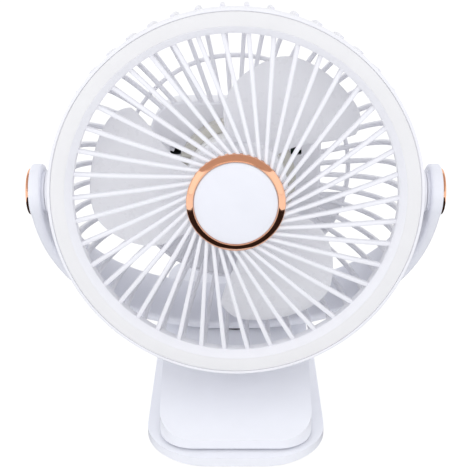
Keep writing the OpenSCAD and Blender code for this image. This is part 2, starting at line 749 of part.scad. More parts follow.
module yoke() color(WHITE) in_yoke() difference() {
    union() {
        intersection() {
            rotate([90, 0, 0]) linear_extrude(4 * yoke_band, center = true)
                polygon(concat(yoke_line(0),
                    [for (i = [yoke_steps:-1:0]) yoke_line(yoke_t)[i]]));
            rotate([90, 0, 90]) linear_extrude(yoke_w + 20, center = true)
                polygon([[-arm_d / 2, 0.1], [yoke_back - yoke_band / 2, -yoke_drop - 1],
                    [yoke_back + yoke_band / 2, -yoke_drop - 1], [arm_d / 2, 0.1]]);
        }
        for (s = [-1, 1]) rotate([0, s * 90, 0]) translate([0, 0, yoke_w / 2 - yoke_t])
            cylinder(d = arm_d, h = yoke_t);
        // flat seat under the crosspiece for the swivel
        translate([0, yoke_back, -yoke_drop]) cylinder(d = swivel_washer_d, h = swivel_boss_h);
    }
    // flat seats inside the arms, pivot bores and cap seats
    for (s = [-1, 1]) rotate([0, s * 90, 0]) translate([0, 0, yoke_w / 2 - yoke_t - 20])
        cylinder(r = boss_r + free_gap, h = 20);
    for (s = [-1, 1]) rotate([0, s * 90, 0]) {
        translate([0, 0, yoke_w / 2 - yoke_t - 1])
            cylinder(d = pivot_bolt_d + 2 * run_fit, h = 20, $fn = fine);
        translate([0, 0, yoke_w / 2 - cap_seat]) cylinder(d = pivot_cap_d + slip, h = 20);
        translate([0, 0, yoke_w / 2 - cap_seat - bolt_head_h - slip])
            cylinder(r = bolt_head_r + slip, h = 20, $fn = fine);
    }
    // swivel bore, bolt head seat and plug seat
    translate([0, yoke_back, -yoke_drop - 1]) {
        cylinder(d = swivel_bolt_d + 2 * run_fit, h = 20, $fn = fine);
        translate([0, 0, 1 + yoke_t - plug_t - swivel_head_h - slip])
            cylinder(d = swivel_head_d + 2 * slip, h = 20, $fn = fine);
        translate([0, 0, 1 + yoke_t - plug_t]) cylinder(d = plug_d + slip, h = 20);
    }
}

module pivot_cap(s) in_yoke() rotate([0, s * 90, 0])
    translate([0, 0, yoke_w / 2 - cap_seat]) {
        cylinder(d = pivot_cap_d, h = cap_t - 0.6);
        translate([0, 0, cap_t - 0.6 - eps]) cylinder(d1 = pivot_cap_d, d2 = pivot_cap_d - 1.4,
            h = 0.6);
    }
module pivot_cap_left() color(ROSE_GOLD) pivot_cap(-1);
module pivot_cap_right() color(ROSE_GOLD) pivot_cap(1);

module pivot_bolts() color(STEEL) in_yoke()
    for (s = [-1, 1]) rotate([0, s * 90, 0])
        translate([0, 0, yoke_w / 2 - cap_seat - bolt_head_h]) {
            cylinder(r = bolt_head_r, h = bolt_head_h - slip, $fn = fine);
            translate([0, 0, -bolt_depth]) cylinder(d = pivot_bolt_d, h = bolt_depth + eps,
                $fn = fine);
        }

module pivot_washers() color(RUBBER) in_yoke()
    for (s = [-1, 1]) rotate([0, s * 90, 0])
        ring(boss_r - 1, pivot_bolt_d / 2 + 0.1, yoke_w / 2 - yoke_t - washer_t,
            yoke_w / 2 - yoke_t);

module swivel_bolt() color(STEEL) in_yoke() translate([0, yoke_back, -yoke_drop]) {
    top = yoke_t - plug_t - slip;
    translate([0, 0, top - swivel_head_h]) cylinder(d = swivel_head_d, h = swivel_head_h,
        $fn = fine);
    translate([0, 0, -washer_t - jaw_cover_t - nut_t - 1])
        cylinder(d = swivel_bolt_d, h = washer_t + jaw_cover_t + nut_t + 1 + top
            - swivel_head_h + eps, $fn = fine);
}

module swivel_plug() color(WHITE) in_yoke()
    translate([0, yoke_back, -yoke_drop + yoke_t - plug_t + 0.02])
        cylinder(d = plug_d, h = plug_t - 0.02);

module swivel_washer() color(RUBBER) in_yoke() translate([0, yoke_back, 0])
    ring(swivel_washer_d / 2, swivel_bolt_d / 2 + run_fit, -deck, -yoke_drop);

module swivel_nut() color(STEEL) in_yoke()
    translate([0, yoke_back, -deck - jaw_cover_t - nut_t]) difference() {
        cylinder(d = nut_af, h = nut_t, $fn = 6);
        translate([0, 0, -1]) cylinder(d = swivel_bolt_d, h = nut_t + 2, $fn = fine);
    }

// ---------------------------------------------------------------- clamp

// everything above the clamp's sloping top, lowered by drop
module above_deck(drop) in_yoke() translate([-span / 2, -span / 2, -deck - drop]) cube(span);

module jaw_prism(inset, z0)
    translate([0, 0, z0]) linear_extrude(span)
        tongue(jaw_w - 2 * inset, jaw_front_y + inset, jaw_len / 2 - inset,
            jaw_r - inset, jaw_rear_r - inset);

// underside of the upper jaw behind the hinge, turned up so that the clamp can open
module rear_bevel(inset) translate([0, hinge_back, hinge_z])
    rotate([clamp_open + bevel_spare, 0, 0])
    translate([-span / 2, -bevel_lead, -span - hinge_rise + jaw_gap + inset]) cube(span);

function jaw_spots() = [for (s = [-1, 1]) [s * jaw_screw_at[0], jaw_screw_at[1]],
    for (s = [-1, 1]) [s * jaw_screw_at[0], jaw_screw_front]];

module jaw_bosses(d, z0) for (p = jaw_spots())
    translate([p[0], p[1], z0]) cylinder(d = d, h = span, $fn = fine);

module upper_jaw_shell() color(WHITE) difference() {
    union() {
        difference() {
            jaw_prism(0, jaw_bottom);
            intersection() {
                jaw_prism(jaw_wall, jaw_bottom + jaw_wall);
                difference() {
                    translate([-span / 2, -span / 2, 0]) cube(span);
                    rear_bevel(jaw_wall);
                }
            }
        }
        intersection() {
            jaw_prism(0.5, jaw_bottom);
            union() {
                // posts for the cover screws
                jaw_bosses(jaw_boss_d, jaw_bottom);
                // cheeks that hold the hinge pin beside the lower jaw's lugs
                for (s = [-1, 1]) translate([s * (lug_x + lug_t / 2 + lug_slot_gap + 2), 0, 0])
                    translate([-2, hinge_back - lug_r, jaw_bottom])
                    cube([4, 2 * lug_r, hinge_z - jaw_bottom + lug_r - 1]);
            }
        }
    }
    above_deck(jaw_cover_t);
    rear_bevel(0);
    // slots for the lower jaw's lugs
    for (s = [-1, 1]) translate([s * lug_x - lug_t / 2 - lug_slot_gap,
        hinge_back - lug_r - 0.8, jaw_bottom - 1])
        cube([lug_t + 2 * lug_slot_gap, 2 * lug_r + 12, hinge_z - jaw_bottom + lug_r + 1.6]);
    // window for the spring's rear leg
    translate([spring_coils * spring_wire / 2 - 3.5, hinge_back + 2, jaw_bottom - 1])
        cube([6.5, spring_leg_len + 3, hinge_rise - jaw_gap + 1]);
    translate([-jaw_w, hinge_back, hinge_z]) rotate([0, 90, 0])
        cylinder(d = hinge_pin_d + 2 * run_fit, h = 2 * jaw_w, $fn = fine);
    // screw holes and head recesses
    for (p = jaw_spots()) translate([p[0], p[1], jaw_bottom - 1])
        cylinder(d = jaw_screw_d + 2 * run_fit, h = span, $fn = fine);
    for (p = jaw_spots()) translate([p[0], p[1], jaw_bottom - 1])
        cylinder(d = screw_head * jaw_screw_d + 2 * slip, h = jaw_screw_seat(p) + 1, $fn = fine);
    // recess of the grip pad
    translate([-grip_w / 2, grip_y - grip_len / 2, jaw_bottom - 1])
        cube([grip_w, grip_len, 1 + pad_recess]);
}

// height of the screw's head seat above the jaw's underside
function jaw_screw_seat(p) = p[1] > hinge_back ?
    (p[1] - hinge_back) * tan(clamp_open + bevel_spare) + jaw_gap + 3.5 : 1.8;
// height of the sloping deck at y
function deck_z(y) = pivot_h - deck / cos(lean) + (y - pivot_y) * tan(lean);

module upper_jaw_cover() color(WHITE) difference() {
    union() {
        intersection() {
            jaw_prism(0, jaw_bottom);
            difference() {
                above_deck(jaw_cover_t);
                above_deck(0);
            }
        }
        // sockets that the screws bite into
        intersection() {
            for (p = jaw_spots()) if (p[1] > 0) translate([p[0], p[1], 0])
                cylinder(d = jaw_boss_d - 1, h = span, $fn = fine);
            difference() {
                above_deck(jaw_cover_t);
                above_deck(0.5);
            }
        }
    }
    for (p = jaw_spots()) translate([p[0], p[1], jaw_bottom])
        cylinder(d = jaw_screw_d, h = deck_z(p[1]) - jaw_bottom - 1.5, $fn = fine);
    in_yoke() translate([0, yoke_back, -deck - jaw_cover_t - 1])
        cylinder(d = swivel_bolt_d + 2 * run_fit, h = jaw_cover_t + 2, $fn = fine);
}

module jaw_screws() color(STEEL)
    for (p = jaw_spots()) {
        z0 = jaw_bottom + jaw_screw_seat(p);
        translate([p[0], p[1], z0])
            screw(jaw_screw_d, deck_z(p[1]) - 1.9 - z0, 1.5);
    }

module lower_jaw() color(WHITE) difference() {
    union() {
        translate([0, 0, pad_out + skirt_r]) linear_extrude(foot_t - skirt_r)
            tongue(foot_w, -foot_len / 2, foot_len / 2, foot_r, foot_rear_r);
        translate([0, 0, pad_out]) linear_extrude(skirt_r + eps)
            tongue(foot_w - 2 * skirt_r, -foot_len / 2 + skirt_r, foot_len / 2 - skirt_r,
                foot_r - skirt_r, foot_rear_r - skirt_r);
        for (s = [-1, 1]) translate([s * lug_x - lug_t / 2, hinge_back, 0]) {
            translate([0, 0, hinge_z]) rotate([0, 90, 0]) cylinder(r = lug_r, h = lug_t);
            translate([0, -lug_r, foot_top - 1]) cube([lug_t, 2 * lug_r, hinge_rise + 1]);
        }
    }
    translate([-foot_w, hinge_back, hinge_z]) rotate([0, 90, 0])
        cylinder(d = hinge_pin_d + 2 * run_fit, h = 2 * foot_w, $fn = fine);
    translate([-grip_w / 2, grip_y - grip_len / 2, foot_top - pad_recess])
        cube([grip_w, grip_len, 5]);
    for (sx = [-1, 1], sy = [-1, 1])
        translate([sx * foot_pad_at[0], sy * foot_pad_at[1], 0])
        cylinder(d = pad_d + slip, h = pad_out + pad_recess);
}

module hinge_pin() color(STEEL) translate([-jaw_w / 2 + 0.6, hinge_back, hinge_z])
    rotate([0, 90, 0]) cylinder(d = hinge_pin_d, h = jaw_w - 1.2, $fn = fine);

// torsion spring: coils round the pin, one leg forwards on the upper jaw's floor and one
// backwards on the lower jaw
module spring_leg(fall) rotate([90 + asin(fall / spring_leg_len), 0, 0])
    cylinder(d = spring_wire, h = spring_leg_len, $fn = fine);

module clamp_spring() color(STEEL) translate([0, hinge_back, hinge_z]) {
    coil = spring_wire + 0.2;
    first = -(spring_coils - 1) / 2 * coil;
    for (i = [0:spring_coils - 1]) translate([first + i * coil, 0, 0]) rotate([0, 90, 0])
        rotate_extrude() translate([spring_r, 0]) circle(d = coil + 0.05, $fn = fine);
    translate([first, 0, -spring_r])
        spring_leg(hinge_rise - jaw_gap - jaw_wall - spring_r - spring_wire / 2 - spring_seat);
    translate([-first, 0, -spring_r]) rotate([0, 0, 180])
        spring_leg(hinge_rise - spring_r - spring_wire / 2 - spring_seat);
}

module grip_pad(z0) color(RUBBER) difference() {
    translate([-grip_w / 2 + slip, grip_y - grip_len / 2 + slip, z0])
        cube([grip_w - 2 * slip, grip_len - 2 * slip, grip_t]);
    children();
}
module grip_grooves(z0) for (i = [-3:3])
    translate([-grip_w / 2, grip_y + i * grip_groove_pitch - 0.5, z0])
        cube([grip_w, 1, grip_groove]);
module lower_jaw_pad() grip_pad(foot_top - pad_recess)
    grip_grooves(foot_top - pad_recess + grip_t - grip_groove);
module upper_jaw_pad() grip_pad(jaw_bottom + pad_recess - grip_t)
    grip_grooves(jaw_bottom + pad_recess - grip_t - eps);

module foot_pads() color(RUBBER)
    for (sx = [-1, 1], sy = [-1, 1])
        translate([sx * foot_pad_at[0], sy * foot_pad_at[1], 0]) {
            cylinder(d = pad_d - 1, h = 0.3 + eps);
            translate([0, 0, 0.3]) cylinder(d = pad_d, h = pad_out + pad_recess - 0.3);
        }

front_grille();
front_bezel();
ring_light_diffuser();
led_board();
led_chips();
hub_trim_ring();
hub_cap();
rear_housing();
rear_cover();
battery_cells();
control_board();
tact_switches();
charging_socket();
indicator_lenses();
power_button();
light_button();
motor_housing();
motor_end_bell();
motor_stator();
motor_rotor();
motor_shaft();
motor_bearings();
motor_screws();
fan_blade();
blade_nut();
housing_screws();
cover_screws();
yoke();
pivot_cap_left();
pivot_cap_right();
pivot_bolts();
pivot_washers();
swivel_bolt();
swivel_plug();
swivel_washer();
swivel_nut();
upper_jaw_shell();
upper_jaw_cover();
jaw_screws();
lower_jaw();
hinge_pin();
clamp_spring();
upper_jaw_pad();
lower_jaw_pad();
foot_pads();
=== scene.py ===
import json
from math import asin, cos, pi, radians, sin, sqrt, tan

import bmesh
import bpy
from mathutils import Matrix, Vector


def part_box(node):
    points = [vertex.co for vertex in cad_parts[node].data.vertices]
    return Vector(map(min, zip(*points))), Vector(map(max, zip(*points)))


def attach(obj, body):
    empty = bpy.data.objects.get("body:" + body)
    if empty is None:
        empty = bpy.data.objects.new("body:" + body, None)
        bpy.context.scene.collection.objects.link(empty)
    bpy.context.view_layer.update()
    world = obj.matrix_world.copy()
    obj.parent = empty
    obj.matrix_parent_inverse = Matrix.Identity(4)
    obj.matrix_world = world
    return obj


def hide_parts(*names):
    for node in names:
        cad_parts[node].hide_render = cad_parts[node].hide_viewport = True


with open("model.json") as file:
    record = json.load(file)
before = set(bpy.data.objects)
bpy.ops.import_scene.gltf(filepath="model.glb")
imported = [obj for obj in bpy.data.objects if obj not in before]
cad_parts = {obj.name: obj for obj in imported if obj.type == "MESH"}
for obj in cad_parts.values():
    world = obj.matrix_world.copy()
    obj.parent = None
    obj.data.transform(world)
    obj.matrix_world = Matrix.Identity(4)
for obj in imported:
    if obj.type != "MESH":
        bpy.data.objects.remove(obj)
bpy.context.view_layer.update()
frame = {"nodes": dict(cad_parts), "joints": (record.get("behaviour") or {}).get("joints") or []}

MM = 0.001

# ------------------------------------------------------------------ places, from the frame

joints = {j["name"]: j for j in frame["joints"]}
pivot = Vector(joints["head_tilt"]["pos_m"])


def axes_at(origin, z_axis):
    """Matrix from millimetres in a frame whose Z runs along z_axis, with X kept, to metres."""
    z = Vector(z_axis).normalized()
    x = Vector((1, 0, 0))
    y = z.cross(x)
    turn = Matrix((x, y, z)).transposed().to_4x4()
    return Matrix.Translation(origin) @ turn @ Matrix.Scale(MM, 4)


HEAD = axes_at(pivot, joints["blade_spin"]["axis"])      # Z along the airflow, Y up
YOKE = axes_at(pivot, joints["yoke_swivel"]["axis"])     # Z along the swivel axis, Y backwards


def outward(side):
    """Turns Z to +X (side 1) or to -X (side -1), for what is turned about the head's pivots."""
    return Matrix.Scale(side, 4, (1, 0, 0)) @ Matrix.Rotation(pi / 2, 4, "Y")


def size_of(node):
    low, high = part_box(node)
    return [(b - a) / MM for a, b in zip(low, high)]


# ------------------------------------------------------------------ sizes in millimetres
# FRONT and BACK are heights along the airflow from the pivot, positive towards the front.

BEZEL_R = size_of("front_bezel")[0] / 2
BEZEL_FRONT = 17.5
BEZEL_BACK = 6
LIGHT_R = size_of("ring_light_diffuser")[0] / 2
LIGHT_IR = 78.2
LIGHT_SINK = 0.3          # how far the diffuser lies below the bezel's front
DIFFUSER_BACK = 15.2
GROOVE_R = LIGHT_R + 0.2
GROOVE = 0.75             # depth of the joint between bezel and diffuser
OPENING_R = 74.8
LIP_DROP = 3.6            # how far the guard's lip falls towards the opening
LIP_BACK = 8.4
LIP_R = LIGHT_IR - 0.15

TRIM_R = size_of("hub_trim_ring")[0] / 2
TRIM_H = 4.9
CAP_R = size_of("hub_cap")[0] / 2
HUB_FRONT = 23.5
HUB_BASE = HUB_FRONT - TRIM_H
HUB_PLATE_T = 2.4
HUB_HOLE_R = 7
FRONT_RIBS = 42
FRONT_SKEW = 12.2         # how far the ribs' lines pass from the hub's axis
FIRST_RIB = 9.4           # degrees
RIB_H = 3.2
RIB_HUB_BELOW = 2.5       # how far the ribs' inner ends lie below the hub's front
RIB_RIM_BELOW = 0.6       # the same at the lip
RIB_TAIL = 0.6            # how far the ribs reach into what carries them

COLLAR_BACK = -4
COLLAR_WEB = 2.2
REAR_RIBS = 48
REAR_RIB_TURN = 0.4       # degrees
REAR_RIB_W = 2.2
REAR_RIB_H = 4.4
WALL_R = 86.8
REAR_BACK = 48
RING_R = 59
RING_W = 2
RING_BACK = 51
APRON_TOP = -12.5
APRON_T = 1.6
APRON_SET = 0.6           # how far the apron lies inside the ribs' backs
BOSS_R = 10.5
BOX_W = size_of("rear_cover")[0]
BOX_H = 70
BOX_R = 16
BOX_WALL = 2
BOX_ROUND = 1.6
BOX_FRONT = -43
BOX_BACK = -64.5
BOX_SLOT = (5.6, 4.4, 0.8)          # width, height and corner radius
BOX_SLOT_AT = (30.7, 10.2)
SEAT_R = 23
SEAT_H = 9
SEAT_FOOT = 1.2
SHAFT_HOLE_R = 6

BLADES = 3
FIRST_BLADE = 57          # degrees
BLADE_HUB_R = 24.75
HUB_FACE = -2.5
HUB_BACK = -21
HUB_WALL = 2
BLADE_R = 69
BLADE_PITCH = 17
BLADE_T = 1.8
BLADE_ROOT = BLADE_HUB_R - 4
BLADE_FROM = (BLADE_HUB_R - 1 - BLADE_ROOT) / (BLADE_R - BLADE_ROOT)
BLADE_MID = 3 - BLADE_PITCH / 2
BLADE_HALF = 29           # degrees from the middle of a blade to its edge
BLADE_SWEEP = 26          # degrees
TIP_CUT = 9               # degrees

YOKE_W = size_of("yoke")[0]
YOKE_DROP = 96
YOKE_T = 5.5
YOKE_BAND = 30
YOKE_BACK = 10
YOKE_POWER = 2 / 2.3      # the yoke is a superellipse of exponent 2.3
YOKE_EDGE = 1.9
ARM_R = 13
ARM_X = YOKE_W / 2
PIVOT_CAP_R = size_of("pivot_cap_left")[1] / 2
CAP_T = 2.38
CAP_SEAT = 0.8


# ------------------------------------------------------------------ materials

def new_material(name):
    mat = bpy.data.materials.new(name)
    mat.use_nodes = True
    tree = mat.node_tree
    return mat, tree, tree.nodes["Principled BSDF"]


def mottle(tree, scale, detail=3.0):
    """Noise over the piece, in its own coordinates, in features per metre."""
    coords = tree.nodes.new("ShaderNodeTexCoord")
    noise = tree.nodes.new("ShaderNodeTexNoise")
    noise.inputs["Scale"].default_value = scale
    noise.inputs["Detail"].default_value = detail
    tree.links.new(coords.outputs["Object"], noise.inputs["Vector"])
    return noise.outputs["Fac"]


def vary_color(tree, bsdf, fac, low, high):
    ramp = tree.nodes.new("ShaderNodeValToRGB")
    ramp.color_ramp.elements[0].position = 0.3
    ramp.color_ramp.elements[1].position = 0.7
    ramp.color_ramp.elements[0].color = (*low, 1)
    ramp.color_ramp.elements[1].color = (*high, 1)
    tree.links.new(fac, ramp.inputs["Fac"])
    tree.links.new(ramp.outputs["Color"], bsdf.inputs["Base Color"])


def vary_roughness(tree, bsdf, fac, low, high):
    span = tree.nodes.new("ShaderNodeMapRange")
    span.inputs["To Min"].default_value = low
    span.inputs["To Max"].default_value = high
    tree.links.new(fac, span.inputs["Value"])
    tree.links.new(span.outputs["Result"], bsdf.inputs["Roughness"])


def bump(tree, bsdf, height, strength, distance):
    node = tree.nodes.new("ShaderNodeBump")
    node.inputs["Strength"].default_value = strength
    node.inputs["Distance"].default_value = distance
    tree.links.new(height, node.inputs["Height"])
    tree.links.new(node.outputs["Normal"], bsdf.inputs["Normal"])


def shade(color, amount):
    return tuple(min(1.0, c * amount) for c in color)


def moulded(name, color, rough, spread=0.012, grain=2600, depth=0.02, **sockets):
    """Moulded plastic or rubber: faint mottling and a fine spark-eroded grain."""
    mat, tree, bsdf = new_material(name)
    vary_color(tree, bsdf, mottle(tree, 90), shade(color, 1 - spread), shade(color, 1 + spread))
    vary_roughness(tree, bsdf, mottle(tree, 240), rough * 0.9, rough * 1.1)
    bump(tree, bsdf, mottle(tree, grain, 2.0), depth, 0.02 * MM)
    for key, value in sockets.items():
        bsdf.inputs[key.replace("_", " ")].default_value = value
    return mat


def metal(name, color, rough, spread=0.03):
    mat, tree, bsdf = new_material(name)
    bsdf.inputs["Metallic"].default_value = 1.0
    vary_color(tree, bsdf, mottle(tree, 60), shade(color, 1 - spread), shade(color, 1 + spread))
    vary_roughness(tree, bsdf, mottle(tree, 300), rough * 0.8, rough * 1.25)
    bump(tree, bsdf, mottle(tree, 900, 2.0), 0.02, 0.01 * MM)
    return mat


WHITE = moulded("white_plastic", (0.86, 0.87, 0.935), 0.32)
WHITE_RIB = moulded("white_rib_plastic", (0.895, 0.895, 0.94), 0.30)
# Painted light: the clamp's white is lighter than the rest of the white plastic, to make up for
# the shade the head casts on it.
BASE_WHITE_LIGHTENED_FOR_SHADE = moulded("base_white_plastic_lightened_for_shade", (0.92, 0.93, 0.985), 0.34)
# Painted light: the blades' white is lighter than the rest of the white plastic, to make up for
# the shade they lie in behind the guard.
BLADE_LIGHTENED_FOR_SHADE = moulded("blade_plastic", (0.955, 0.955, 0.98), 0.28, Coat_Weight=0.2)
DIFFUSER = moulded("ring_diffuser", (0.85, 0.845, 0.86), 0.45)
GOLD = metal("rose_gold_plating", (0.92, 0.52, 0.345), 0.07)
STEEL = metal("plain_steel", (0.60, 0.61, 0.63), 0.32)
MOTOR_STEEL = metal("zinc_plated_steel", (0.70, 0.69, 0.63), 0.42)
COPPER = metal("copper_winding", (0.65, 0.30, 0.14), 0.35)
CORE = metal("laminated_core", (0.18, 0.18, 0.20), 0.5)
RUBBER = moulded("matt_rubber", (0.045, 0.045, 0.05), 0.75, spread=0.08, grain=1800, depth=0.15)
BOARD = moulded("circuit_board", (0.02, 0.10, 0.05), 0.35, spread=0.12)
LED = moulded("led_phosphor", (0.85, 0.68, 0.22), 0.4, spread=0.05)
WRAP = moulded("battery_wrap", (0.06, 0.07, 0.08), 0.35, spread=0.05)


# ------------------------------------------------------------------ mesh helpers

def fillet(points, radii, steps=5, closed=True):
    """The polygon with its corners rounded, each by its own radius (0 keeps it sharp)."""
    out = []
    n = len(points)
    for i, p in enumerate(points):
        r = radii[i] if isinstance(radii, (list, tuple)) else radii
        ends = not closed and i in (0, n - 1)
        if r <= 0 or ends:
            out.append(tuple(p))
            continue
        a, c = Vector(points[i - 1]), Vector(points[(i + 1) % n])
        b = Vector(p)
        u, v = (a - b), (c - b)
        reach = min(u.length, v.length) * 0.49
        u.normalize()
        v.normalize()
        half = u.angle(v) / 2
        if half > pi / 2 - 0.02:
            out.append(tuple(p))
            continue
        r = min(r, reach * tan(half))
        start, end = b + u * r / tan(half), b + v * r / tan(half)
        centre = b + (u + v).normalized() * r / sin(half)
        sweep = pi - 2 * half
        for k in range(steps + 1):
            t = k / steps
            w0, w1 = sin((1 - t) * sweep) / sin(sweep), sin(t * sweep) / sin(sweep)
            out.append(tuple(centre + (start - centre) * w0 + (end - centre) * w1))
    return out


def loft(bm, loops):
    """Joins closed loops of points with quads and caps both ends."""
    rings = [[bm.verts.new(p) for p in loop] for loop in loops]
    n = len(rings[0])
    for a, b in zip(rings, rings[1:]):
        for i in range(n):
            j = (i + 1) % n
            bm.faces.new((a[i], a[j], b[j], b[i]))
    bm.faces.new(rings[0][::-1])
    bm.faces.new(rings[-1])


def lathe(bm, profile, n=192, closed=True, place=Matrix.Identity(4)):
    """Turns a profile of (radius, height) points about Z."""
    rings = []
    for k in range(n):
        a = 2 * pi * k / n
        rings.append([bm.verts.new(place @ Vector((r * cos(a), r * sin(a), z)))
                      for r, z in profile])
    m = len(profile)
    for k in range(n):
        a, b = rings[k], rings[(k + 1) % n]
        for i in range(m if closed else m - 1):
            j = (i + 1) % m
            bm.faces.new((a[i], b[i], b[j], a[j]))


def make_piece(name, bm, place, body, material, nodes, crease=38, weld=1e-4):
    """Turns the mesh, in millimetres of its own frame, into a piece that rides on a body."""
    bmesh.ops.remove_doubles(bm, verts=bm.verts, dist=weld)
    bmesh.ops.dissolve_degenerate(bm, edges=bm.edges, dist=weld)
    bmesh.ops.recalc_face_normals(bm, faces=bm.faces)
    bmesh.ops.transform(bm, matrix=place, verts=bm.verts)
    mesh = bpy.data.meshes.new(name)
    bm.to_mesh(mesh)
    bm.free()
    mesh.shade_smooth()
    mesh.set_sharp_from_angle(angle=radians(crease))
    mesh.materials.append(material)
    piece = bpy.data.objects.new(name, mesh)
    bpy.context.scene.collection.objects.link(piece)
    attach(piece, body)
    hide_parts(*nodes)
    return piece


def cut_away(piece, bm, place):
    """Takes the shape in bm, in millimetres of its own frame, out of a piece."""
    bmesh.ops.recalc_face_normals(bm, faces=bm.faces)
    bmesh.ops.transform(bm, matrix=place, verts=bm.verts)
    mesh = bpy.data.meshes.new("cutter")
    bm.to_mesh(mesh)
    bm.free()
    cutter = bpy.data.objects.new("cutter", mesh)
    bpy.context.scene.collection.objects.link(cutter)
    step = piece.modifiers.new("cut", "BOOLEAN")
    step.operation = "DIFFERENCE"
    step.solver = "EXACT"
    step.object = cutter
    bpy.context.view_layer.update()
    graph = bpy.context.evaluated_depsgraph_get()
    result = bpy.data.meshes.new_from_object(piece.evaluated_get(graph))
    piece.modifiers.clear()
    piece.data = result
    result.set_sharp_from_angle(angle=radians(38))
    bpy.data.objects.remove(cutter)


# ------------------------------------------------------------------ front of the head

def build_bezel():
    bm = bmesh.new()
    groove = BEZEL_FRONT - GROOVE
    ledge_r, ledge = LIGHT_R + 0.07, DIFFUSER_BACK - 0.05
    profile = [
        (LIGHT_IR, BEZEL_BACK), (BEZEL_R, BEZEL_BACK), (BEZEL_R, BEZEL_FRONT),
        (GROOVE_R, BEZEL_FRONT), (GROOVE_R, groove), (ledge_r, groove),
        (ledge_r, ledge), (LIGHT_IR, ledge)]
    radii = [0.3, 0.8, 1.2, 0.18, 0.02, 0, 0.1, 0.1]
    lathe(bm, fillet(profile, radii, steps=6), n=288)
    make_piece("bezel_ring", bm, HEAD, "head", WHITE_RIB, ["front_bezel"])


def build_diffuser():
    bm = bmesh.new()
    inner, outer = LIGHT_IR - 0.13, LIGHT_R + 0.06
    front = BEZEL_FRONT - LIGHT_SINK
    profile = [(inner, DIFFUSER_BACK), (outer, DIFFUSER_BACK), (outer, front), (inner, front)]
    lathe(bm, fillet(profile, [0.1, 0.1, 0.35, 0.05], steps=4), n=288)
    make_piece("ring_light_cover", bm, HEAD, "head", DIFFUSER,
               ["ring_light_diffuser"])


def round_bar(half_w, half_h, r, steps=3):
    """Section of a bar with rounded edges, centred on the origin."""
    box = [(-half_w, -half_h), (half_w, -half_h), (half_w, half_h), (-half_w, half_h)]
    return fillet(box, min(r, half_w * 0.96, half_h * 0.96), steps=steps)


def front_rib_height(u):
    """Height of a rib's front, from the hub (0) to the lip (1)."""
    rim = BEZEL_FRONT - LIP_DROP - RIB_RIM_BELOW
    return rim + (HUB_FRONT - RIB_HUB_BELOW - rim) * (1 - u ** 1.7)


def build_front_grille():
    bm = bmesh.new()
    lip = [(OPENING_R, LIP_BACK), (OPENING_R + 3, LIP_BACK), (LIP_R, LIP_BACK + 2),
           (LIP_R, BEZEL_FRONT), (OPENING_R, BEZEL_FRONT - LIP_DROP)]
    lathe(bm, fillet(lip, [0.6, 0.4, 0.4, 0.12, 0.7], steps=5), n=288)
    back = HUB_BASE - HUB_PLATE_T
    hub = [(HUB_HOLE_R, back), (TRIM_R, back), (TRIM_R, HUB_BASE), (HUB_HOLE_R, HUB_BASE)]
    lathe(bm, fillet(hub, [0.3, 0.8, 0.1, 0.1], steps=4), n=144)
    start = sqrt(TRIM_R ** 2 - FRONT_SKEW ** 2) - RIB_TAIL
    end = sqrt((OPENING_R + RIB_TAIL) ** 2 - FRONT_SKEW ** 2)
    steps = 22
    for i in range(FRONT_RIBS):
        turn = Matrix.Rotation(radians(FIRST_RIB + i * 360 / FRONT_RIBS), 4, "Z")
        loops = []
        for k in range(steps + 1):
            u = k / steps
            s = start + (end - start) * u
            half_w = 0.86 + 0.2 * u
            top = front_rib_height(u)
            loops.append([turn @ Vector((s, -FRONT_SKEW + x, top - RIB_H / 2 + z))
                          for x, z in round_bar(half_w, RIB_H / 2, 0.75)])
        loft(bm, loops)
    make_piece("front_guard", bm, HEAD, "head", WHITE_RIB,
               ["front_grille"], weld=1e-5)


def build_hub_trim():
    bm = bmesh.new()
    inner = CAP_R + 0.08
    edge = 0.3
    width = TRIM_R - inner - edge
    slope = [(inner + edge + width * t, HUB_FRONT - width * (0.25 * t + 0.36 * t * t))
             for t in (k / 16 for k in range(17))]
    profile = [(inner, HUB_BASE), (TRIM_R, HUB_BASE)] + slope[::-1]
    profile.append((inner, HUB_FRONT - edge))
    lathe(bm, profile, n=288)
    make_piece("hub_bright_ring", bm, HEAD, "head", GOLD, ["hub_trim_ring"],
               crease=60)


def build_hub_cap():
    bm = bmesh.new()
    edge = HUB_FRONT - 0.55
    sag = 0.9
    dome = [(CAP_R * (1 - k / 16), edge + sag * (1 - (1 - k / 16) ** 2)) for k in range(1, 17)]
    rim = [(CAP_R, HUB_BASE + 0.1), (CAP_R, edge), dome[2]]
    profile = [(0, HUB_BASE), (CAP_R, HUB_BASE)]
    profile += fillet(rim, [0, 0.5, 0], steps=5, closed=False) + dome[3:]
    lathe(bm, profile, closed=False)
    make_piece("hub_centre_cap", bm, HEAD, "head", WHITE, ["hub_cap"],
               crease=60)


# ------------------------------------------------------------------ rear of the head

def rounded_outline(w, h, r, inset=0.0, steps=10):
    """Corner points of a rounded rectangle, w by h, made smaller by inset on every side."""
    out = []
    r = max(r - inset, 0.2)
    x, y = w / 2 - inset - r, h / 2 - inset - r
    for i, (cx, cy) in enumerate(((x, y), (-x, y), (-x, -y), (x, -y))):
        for k in range(steps + 1):
            a = (i + k / steps) * pi / 2
            out.append((cx + r * cos(a), cy + r * sin(a)))
    return out


def wall_point(u, inset):
    """A point (radius, height) of the rounded rear wall, from the collar (0) to the ring (1)."""
    start = RING_R - 3
    a = u * pi / 2
    return Vector((start + (WALL_R - inset - start) * max(0.0, cos(a)) ** 0.7,
                   -(REAR_BACK - inset) * sin(a) ** 0.6))


